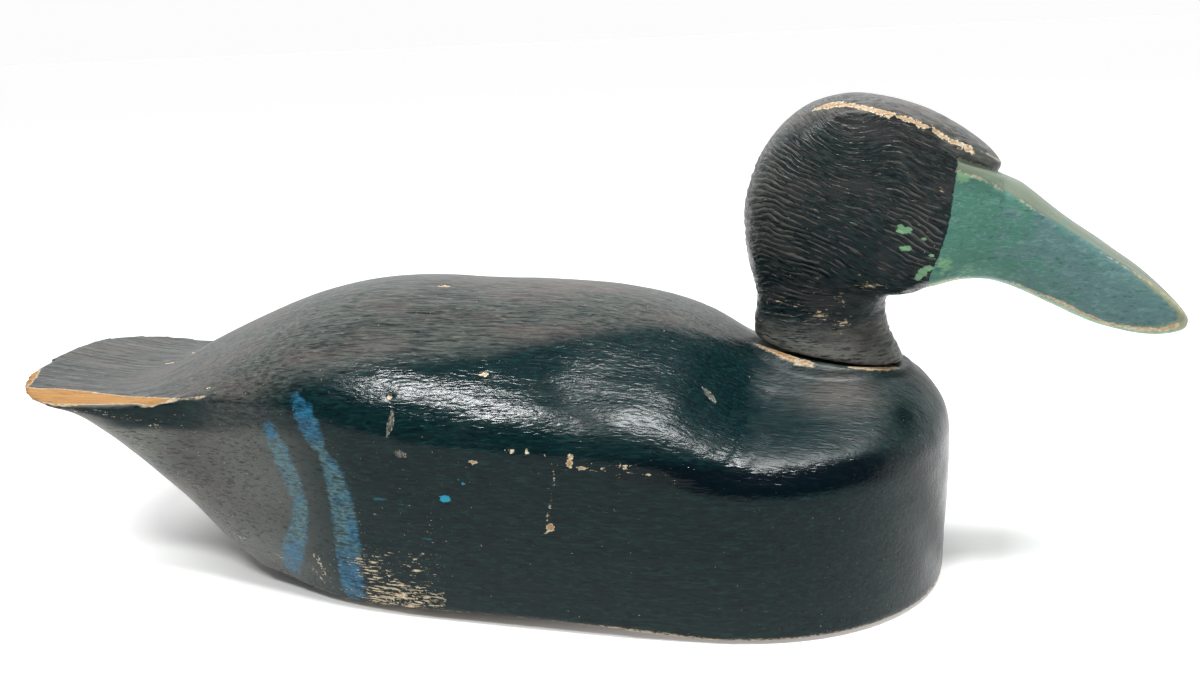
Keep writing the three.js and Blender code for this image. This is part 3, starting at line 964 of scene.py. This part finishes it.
def bill_paint(finish, paint, ragged, cloud, brush):
    """Chalky green that turns teal forwards, paler along its edges and worn at the tip, with rubbed paint and
    a painted sheen along its top.
    """
    x, _, _ = finish.split(finish.place)
    low = finish.layer("bill_low")
    rubbed = finish.most(finish.layer("pale"), finish.step(low + ragged * 3.0, -1.8, 0.4) * 0.75)
    strip = finish.mark("bill_top", ragged * 2.0, -0.4, 0.5)
    edges = finish.least(finish.layer("top_edge"), finish.layer("low_edge"))
    tip = finish.most(
        finish.step(x + ragged * 4.0, 188.4, 190.6),
        finish.step(x, 172.0, 184.0) * finish.step(edges + ragged * 2.4, 1.6, 0.6),
    )
    return finish.coats(
        finish.blend(finish.step(cloud + (x - 142.0) * 0.008, 0.4, 0.62), paint.green, paint.teal),
        (finish.step(brush, 0.5, 0.68) * 0.65, paint.light_teal),
        (finish.step(brush, 0.46, 0.3) * 0.75, paint.dark_green),
        (finish.step(brush * 0.6 + cloud * 0.2 + rubbed * 0.4, 0.6, 0.74), paint.pale_green),
        # Rubbed paint and a painted sheen along the top of the bill
        (strip * finish.step(brush + cloud, 0.62, 1.0) * 0.9 + strip * 0.1, paint.pale_top_and_sheen),
        (tip * 0.75, paint.olive),
    )


def head_finish(paint):
    """Black rasped head with a worn crown ridge and a chalky green bill."""
    finish = Finish("decoy_head_paint")
    x, y, _ = finish.split(finish.place)
    dull = finish.layer("dull")
    wear = finish.layer("wear")
    course = finish.layer("course")
    ragged = finish.noise((1.9, 1.5, 1.5), detail=5.0, rough=0.65) - 0.5
    fleck = finish.noise((0.9, 0.7, 0.7), shift=2.0, detail=4.0, rough=0.65)
    speckle = fleck - 0.5
    cloud = finish.noise((8, 8, 6), shift=4.0, detail=4.0, rough=0.6)
    brush = finish.noise((3.2, 2.0, 1.1), shift=6.0, detail=5.0, rough=0.65, warp=1.0)
    grain = finish.noise_at(finish.join(x / 3.2, y / 3.0, course / 0.9), detail=4.0, rough=0.6, warp=0.7)
    hair = finish.noise_at(finish.join(x / 6.0, y / 5.0, course / 0.7), detail=4.0, rough=0.62)

    wander = finish.noise((12, 11, 10), shift=50.0, detail=2.0, rough=0.4)
    teeth = finish.node("ShaderNodeMath", {"operation": "FRACT"}, {0: course / 2.0 + wander * 3.0})
    broken = finish.noise_at(finish.join(x / 5.5, y / 5.0, course / 1.5), detail=2.0, rough=0.5)
    cut = finish.step(broken + finish.layer("rasped") * 0.34, 0.58, 0.72)
    cut = cut * (1.0 - finish.step(finish.layer("bill"), -1.5, 0.0))
    ledge = finish.step(teeth, 0.5, 0.86) * finish.step(teeth, 1.0, 0.94)
    groove = finish.step(teeth, 0.0, 0.05) * finish.step(teeth, 0.34, 0.12)
    bruise = finish.step(finish.noise((15, 12, 9), shift=44.0), 0.5, 0.66)
    bill = finish.mark("bill", ragged * 1.8, -0.12, 0.15)
    spot = finish.mark("green_spots", speckle * 1.6, 0.05, -0.15)

    dashes = finish.noise_at(finish.join(x / 2.4, y / 2.4, course / 0.62), rough=0.6)
    specks = finish.noise((0.9, 0.9, 0.6), shift=15.0, detail=2.0, rough=0.5)
    patchy = finish.step(cloud + fleck * 0.5, 0.6, 0.75)
    low_edge = finish.layer("low_edge") + ragged * 3.0
    worn = finish.most(
        finish.step(dashes + wear * 0.3, 0.76, 0.8),
        finish.step(specks + wear * 0.14, 0.76, 0.79),
        finish.mark("lip_edge", ragged * 2.4, 0.0, -0.25) * 0.8,
        finish.mark("top_edge", ragged * 3.0, 0.1, -0.25) * patchy * 0.5,
        finish.step(low_edge, 0.7, 0.2) * bill,
    )
    gaps = finish.step(finish.noise((4.2, 2.6, 2.6), shift=35.0), 0.47, 0.3)
    ridge = finish.layer("ridge") + ragged * 4.4 + speckle * 1.6 + gaps * 1.6
    dark = finish.step(fleck, 0.52, 0.6) * finish.step(x, 96.0, 86.0)
    bare = finish.most(
        finish.step(ridge, -0.1, -0.5) * (1.0 - dark),
        finish.step(low_edge, 0.2, -0.3) * finish.step(cloud, 0.5, 0.6) * bill,
    )

    colour = finish.coats(
        # The rasp marks' grooves deepen the painted shade of the black
        old_black(finish, paint, grain - groove * cut * 0.3, hair, dull),
        (bruise * 0.6, paint.bruise),
        # Painted highlight on the ledges of the rasp marks
        (ledge * cut * finish.step(grain, 0.3, 0.5) * 0.7, paint.dust_and_highlight),
        (bill, bill_paint(finish, paint, ragged, cloud, brush)),
        (spot, paint.pale_green),
        (finish.most(worn, finish.step(ridge, 0.5, 0.1)), old_cream(finish, paint, fleck)),
        (dark * finish.step(ridge, 0.3, 0.0) * 0.8, paint.grime),
        (bare, finish.blend(0.25, bare_wood(finish, paint, shift=40.0), paint.cream)),
    )

    dry = finish.most(worn, bare, bill * 0.35)
    relief = grain * 0.25 * (1.0 - bill * 0.8) + teeth * cut * 0.4 + brush * bill * 0.2
    relief = relief + fleck * 0.05 - bare * 0.12
    roughness = finish.mix(dry, finish.mix(dull, 0.2, 0.38) + speckle * 0.1, 0.72)
    return finish.end({
        "Base Color": colour,
        "Roughness": roughness,
        "Normal": finish.relief(relief),
        "Specular IOR Level": paint.gloss,
    })


def floor_finish(name, colour, glow):
    """A matt floor that glows a little far from the lamps and, as painted light that softens shadows, beside
    the decoy; it does not glow under the decoy, a painted shadow, and has a strip of painted shade before it.
    """
    finish = Finish(name)
    _, beside, _ = finish.split(finish.metres)
    under = finish.vector("ADD", finish.metres, UNDER_SHIFT)
    under = finish.reach(finish.vector("MULTIPLY", under, UNDER_SCALE))
    away = finish.reach(finish.vector("ADD", finish.metres, FIELD_SHIFT))
    # Painted light beside and behind the decoy that softens its shadows, and none in the oval under it, a
    # painted contact shadow
    near = finish.mix(finish.step(beside, -0.12, -0.03), 0.1 * glow, 0.75 * glow)
    light = finish.mix(finish.step(away, 0.35, 1.5), finish.step(under, 0.85, 1.25) * near, glow)
    # Painted shade on a strip before the decoy, which dims its reflection in the decoy's sides
    strip = finish.step(beside, -0.1, -0.17) * finish.step(beside, -0.6, -0.35)
    darker = tuple(STRIP_SHADE * part for part in colour)
    return finish.end({
        "Base Color": finish.blend(strip, tuple(colour), darker),
        "Roughness": 0.8,
        "Specular IOR Level": 0.1,
        "Emission Color": finish.join(light, light, light),
        "Emission Strength": 1.0,
    })


def settle(piece, node, material):
    """Shades a piece, rides it on its body, lets it stand for its node and gives it its finish."""
    piece.data.materials.clear()
    piece.data.materials.append(material)
    only(piece)
    bpy.ops.object.shade_smooth()
    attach(piece, "root")
    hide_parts(node)


def length(name, description, millimetres):
    """A size that is set in metres, as Blender measures."""
    return bpy.props.FloatProperty(
        name=name, description=description, default=millimetres * MM, min=0.0, precision=5, unit="LENGTH"
    )


def depth(name, description, millimetres):
    """A depth of relief in millimetres."""
    return bpy.props.FloatProperty(
        name=name, description=description, default=millimetres, min=0.0, max=3.0
    )


def share(name, description, value):
    """A part between nothing and all."""
    return bpy.props.FloatProperty(name=name, description=description, default=value, min=0.0, max=1.0)


def turn(name, description, degrees):
    """A turn, shown in degrees."""
    return bpy.props.FloatProperty(
        name=name, description=description, default=math.radians(degrees), subtype="ANGLE"
    )


def tint(name, description, colour):
    """A colour in linear light."""
    return bpy.props.FloatVectorProperty(
        name=name, description=description, default=colour, size=3, min=0.0, max=1.0, subtype="COLOR"
    )


class DecoyForm(bpy.types.PropertyGroup):
    """Fineness and relief of the carving."""

    body_grain: length("Body grain", "Side of the small faces of the body's skin", 1.28)
    head_grain: length("Head grain", "Side of the small faces of the head's skin", 0.6)
    uneven_depth: depth("Unevenness", "Depth of the hand-carved unevenness, mm", 0.3)
    hollow_depth: depth("Shoulder hollow", "Depth of the hollow and scoop in the shoulder, mm", 0.9)
    seat_rise: share("Neck seat", "How far the seat's edge rises to the seat's level", 1.0)
    stroke_depth: depth("Brush marks", "Depth of the long marks on back and sides, mm", 0.08)
    tail_depth: depth("Tail grooves", "Depth of the grooves along the tail, mm", 0.14)
    rasp_depth: depth("Shoulder rasp marks", "Depth of the slanting marks on the shoulder, mm", 0.45)
    head_rasp_depth: depth("Head rasp marks", "Depth of the marks over the cheeks, mm", 0.6)
    chip_depth: depth("Chips", "Depth of a chip in the paint and wood, mm", 0.25)
    edge_lift: depth("Lower edge", "Height of the worn lower edge over the table, mm", 1.0)
    lip_height: depth("Lip", "Height of the crown's lip over the bill, mm", 0.9)
    bill_edge_height: depth("Bill edges", "Height of the crisp edges of the bill, mm", 0.5)


class DecoyPaint(bpy.types.PropertyGroup):
    """Colours of the layers of paint and of the bare wood."""

    black: tint("Black", "Thick black paint", (0.002, 0.0125, 0.0145))
    warm_black: tint("Warm black", "Dulled black paint", (0.013, 0.0245, 0.023))
    tinge: tint("Tinge", "Brownish cast of the dulled black", (0.1, 0.068, 0.064))
    bruise: tint("Bruise", "Brownish patches in the black of the head", (0.037, 0.037, 0.039))
    # Painted shade in hollows, grooves and along the shoulder, and the dark streaks of the dulled paint
    shade_and_dark_streaks: tint("Cavity", "Paint in the hollows of the brush marks", (0.001, 0.003, 0.006))
    # Dusty grey bloom on the dulled paint, and painted highlight on the ledges of the head's rasp marks and
    # the ridges of the tail's grooves
    dust_and_highlight: tint("Dust", "Grey bloom on the high brush marks", (0.14, 0.13, 0.114))
    # Painted sheen on the high brush marks, which also gives the thick paint part of its teal
    sheen: tint("Teal sheen", "Thin bloom on the high brush marks of the thick paint", (0.01, 0.04, 0.039))
    ash: tint("Ash", "Thin and dusty paint at the stern and the neck", (0.2, 0.205, 0.185))
    scrape: tint("Scrape", "Grey primer in scraped paint", (0.3, 0.29, 0.24))
    blue: tint("Blue", "Blue brush strokes near the tail", (0.022, 0.14, 0.25))
    dim_blue: tint("Dim blue", "Thin parts of the blue strokes", (0.08, 0.18, 0.21))
    spot_blue: tint("Spot blue", "Drops of brighter blue", (0.02, 0.29, 0.42))
    green: tint("Green", "Bill near the face", (0.07, 0.2, 0.15))
    teal: tint("Teal", "Bill towards the tip", (0.095, 0.18, 0.18))
    light_teal: tint("Light teal", "High brush marks of the bill", (0.17, 0.3, 0.27))
    dark_green: tint("Dark green", "Hollows of the bill's brush marks", (0.03, 0.105, 0.08))
    pale_green: tint("Pale green", "Rubbed green paint", (0.2, 0.38, 0.22))
    # Rubbed paint along the top of the bill, and a painted sheen there
    pale_top_and_sheen: tint("Pale top", "Rubbed paint along the top of the bill", (0.15, 0.18, 0.135))
    olive: tint("Olive", "Worn tip of the bill", (0.27, 0.27, 0.15))
    cream: tint("Cream", "Old ground under the paint", (0.68, 0.58, 0.42))
    cream_dark: tint("Dark cream", "Soiled ground under the paint", (0.4, 0.3, 0.19))
    wood: tint("Wood", "Bare softwood", (0.36, 0.2, 0.065))
    wood_dark: tint("Dark wood", "Dark grain of the softwood", (0.27, 0.125, 0.042))
    soiled_wood: tint("Soiled wood", "Old bare wood at the lower edge", (0.46, 0.36, 0.3))
    # Also the painted shade on the wood's faces turned down
    grime: tint("Grime", "Soiled bare wood", (0.09, 0.055, 0.035))
    brush_relief: depth("Brush relief", "Height of the brush marks in the paint, mm", 0.15)
    gloss: share("Gloss", "Strength of the paint's reflection", 0.21)


class DecoyStudio(bpy.types.PropertyGroup):
    """Camera, lamps and floor."""

    azimuth: turn("Azimuth", "Camera's turn round the decoy", 12)
    pitch: turn("Pitch", "Camera's look downwards", 14.5)
    roll: turn("Roll", "Camera's turn about its own line of sight", -2.6)
    distance: length("Distance", "Camera's level distance from the origin", 412.8)
    height: length("Height", "Camera's height over the floor", 187.2)
    lens: bpy.props.FloatProperty(
        name="Lens", description="Focal length on a 36 mm wide sensor", default=35.4, min=10.0,
        subtype="DISTANCE_CAMERA",
    )
    lamp_power: bpy.props.FloatProperty(
        name="Lamps", description="Power that the two soft lamps are set from", default=18.0, min=0.0,
        unit="POWER",
    )
    floor_colour: tint("Floor", "Plain pale floor", (0.7, 0.71, 0.7))
    floor_glow: bpy.props.FloatProperty(
        name="Floor glow", description="Light that the far floor gives by itself", default=0.6, min=0.0
    )


class DECOY_OT_body(bpy.types.Operator):
    """Carve and paint the body"""

    bl_idname = "decoy.body"
    bl_label = "Body"

    def execute(self, context):
        scene = context.scene
        piece = carved_blank("body", "carved_body", scene.decoy_form.body_grain)
        carve_body(piece, scene.decoy_form)
        settle(piece, "body", body_finish(scene.decoy_paint))
        return {"FINISHED"}


class DECOY_OT_head(bpy.types.Operator):
    """Carve and paint the head and bill"""

    bl_idname = "decoy.head"
    bl_label = "Head"

    def execute(self, context):
        scene = context.scene
        piece = carved_blank("head", "carved_head", scene.decoy_form.head_grain)
        carve_head(piece, scene.decoy_form)
        settle(piece, "head", head_finish(scene.decoy_paint))
        return {"FINISHED"}


def make_camera(scene, studio):
    """A camera at the angle of the photograph."""
    pitch, roll = studio.pitch, studio.roll
    sine, cosine = math.sin(studio.azimuth), math.cos(studio.azimuth)
    ahead = Vector((-sine * math.cos(pitch), cosine * math.cos(pitch), -math.sin(pitch)))
    level_right = Vector((cosine, sine, 0.0))
    level_up = level_right.cross(ahead)
    right = level_right * math.cos(roll) + level_up * math.sin(roll)
    up = level_up * math.cos(roll) - level_right * math.sin(roll)
    camera = bpy.data.objects.new("camera", bpy.data.cameras.new("camera"))
    camera.data.lens = studio.lens
    camera.data.sensor_width = SENSOR_WIDTH
    camera.data.clip_start = NEAREST_IN_VIEW
    place = Vector((studio.distance * sine, -studio.distance * cosine, studio.height))
    camera.matrix_world = Matrix.Translation(place) @ Matrix((right, up, -ahead)).transposed().to_4x4()
    scene.collection.objects.link(camera)
    scene.camera = camera


def make_lamp(scene, start, end, width, power):
    """A long soft lamp between two places, facing down to the decoy."""
    middle = (start + end) / 2
    across = (end - start).normalized()
    upward = (middle - across * middle.dot(across)).normalized()
    lamp = bpy.data.objects.new("overhead", bpy.data.lights.new("overhead", "AREA"))
    lamp.data.shape = "RECTANGLE"
    lamp.data.size = (end - start).length
    lamp.data.size_y = width
    lamp.data.energy = power
    facing = Matrix((across, upward.cross(across), upward)).transposed().to_4x4()
    lamp.matrix_world = Matrix.Translation(middle) @ facing
    scene.collection.objects.link(lamp)


def make_room_light(scene):
    """A white room that is darker in front, as a studio is behind the camera."""
    scene.world = bpy.data.worlds.new("studio")
    scene.world.use_nodes = True
    room = NodeMaker(scene.world.node_tree)
    x, y, z = room.split(room.node("ShaderNodeTexCoord", {}, {}, "Generated"))
    front = room.step(-y, 0.0, 0.4) * room.step(z, 0.03, 0.12)
    right = room.step(x, 0.3, 0.6) * room.step(z, 0.3, 0.45)
    rear = room.step(y, 0.2, 0.6) * room.step(z, 0.3, 0.5)
    walls = room.mix(room.step(z, 0.05, 0.2), 0.98, 1.35) + rear * 0.5
    bright = room.mix(room.step(z, 0.66, 0.82), walls, 0.2)
    strength = room.mix(room.most(right * 0.85, front), bright, 0.06)
    sockets = {"Color": (1.0, 1.0, 1.0, 1.0), "Strength": strength}
    background = room.node("ShaderNodeBackground", {}, sockets)
    room.node("ShaderNodeOutputWorld", {}, {"Surface": background})


class DECOY_OT_studio(bpy.types.Operator):
    """Set up the floor, the light and the camera"""

    bl_idname = "decoy.studio"
    bl_label = "Studio"

    def execute(self, context):
        scene = context.scene
        studio = scene.decoy_studio
        bpy.ops.object.select_all(action="DESELECT")
        bpy.ops.mesh.primitive_plane_add(size=FLOOR_SIZE, location=(0.0, 0.0, FLOOR_LEVEL))
        floor = context.object
        floor.name = "floor"
        floor.data.materials.append(floor_finish("pale_floor", studio.floor_colour, studio.floor_glow))
        make_camera(scene, studio)
        for start, end, width, strength in LAMPS:
            make_lamp(scene, Vector(start), Vector(end), width, studio.lamp_power * strength)
        make_room_light(scene)
        scene.view_settings.view_transform = "Standard"
        return {"FINISHED"}


class DECOY_PT_panel(bpy.types.Panel):
    """Buttons and values of the decoy"""

    bl_idname = "DECOY_PT_panel"
    bl_label = "Duck decoy"
    bl_space_type = "VIEW_3D"
    bl_region_type = "UI"
    bl_category = "Decoy"

    def draw(self, context):
        layout = self.layout
        for operator in (DECOY_OT_body, DECOY_OT_head, DECOY_OT_studio):
            layout.operator(operator.bl_idname)
        for group in (context.scene.decoy_form, context.scene.decoy_paint, context.scene.decoy_studio):
            for name in group.__annotations__:
                layout.prop(group, name)


GROUPS = {"decoy_form": DecoyForm, "decoy_paint": DecoyPaint, "decoy_studio": DecoyStudio}
CLASSES = (*GROUPS.values(), DECOY_OT_body, DECOY_OT_head, DECOY_OT_studio, DECOY_PT_panel)


def register():
    """Makes the values, the operators and the panel known to Blender."""
    for part in CLASSES:
        bpy.utils.register_class(part)
    for name, group in GROUPS.items():
        setattr(bpy.types.Scene, name, bpy.props.PointerProperty(type=group))


def unregister():
    """Takes them out again."""
    for name in GROUPS:
        delattr(bpy.types.Scene, name)
    for part in reversed(CLASSES):
        bpy.utils.unregister_class(part)


def main():
    """Builds the studio and both pieces, and keeps the sizes."""
    register()
    bpy.ops.decoy.studio()
    bpy.ops.decoy.body()
    bpy.ops.decoy.head()


if __name__ == "__main__":
    main()
